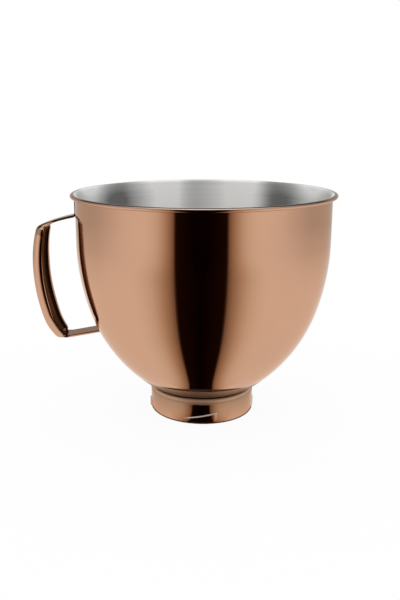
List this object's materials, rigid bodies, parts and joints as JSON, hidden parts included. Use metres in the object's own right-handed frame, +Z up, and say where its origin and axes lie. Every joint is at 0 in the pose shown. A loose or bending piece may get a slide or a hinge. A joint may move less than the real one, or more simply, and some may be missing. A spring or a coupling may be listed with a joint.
{
  "type": "stand mixer bowl",
  "caption": "Deep round metal bowl with a rolled rim, a strap handle whose grip curls in at the sides, and a ring foot with slanted bayonet lugs.",
  "frame": {"origin": "centre of the foot's flat base, on the bowl's axis", "axes": "+Z up along the bowl's axis; the handle points to -X"},
  "size_m": [0.2587, 0.2238, 0.1923],
  "materials": {
    "bowl_metal": "polished copper colour outside, fine brushed steel inside and on the rim",
    "foot_metal": "polished copper colour",
    "handle_metal": "polished copper colour"
  },
  "bodies": {
    "root": {"bowl_shell": "bowl_metal", "foot_ring": "foot_metal", "handle": "handle_metal"}
  },
  "joints": []
}
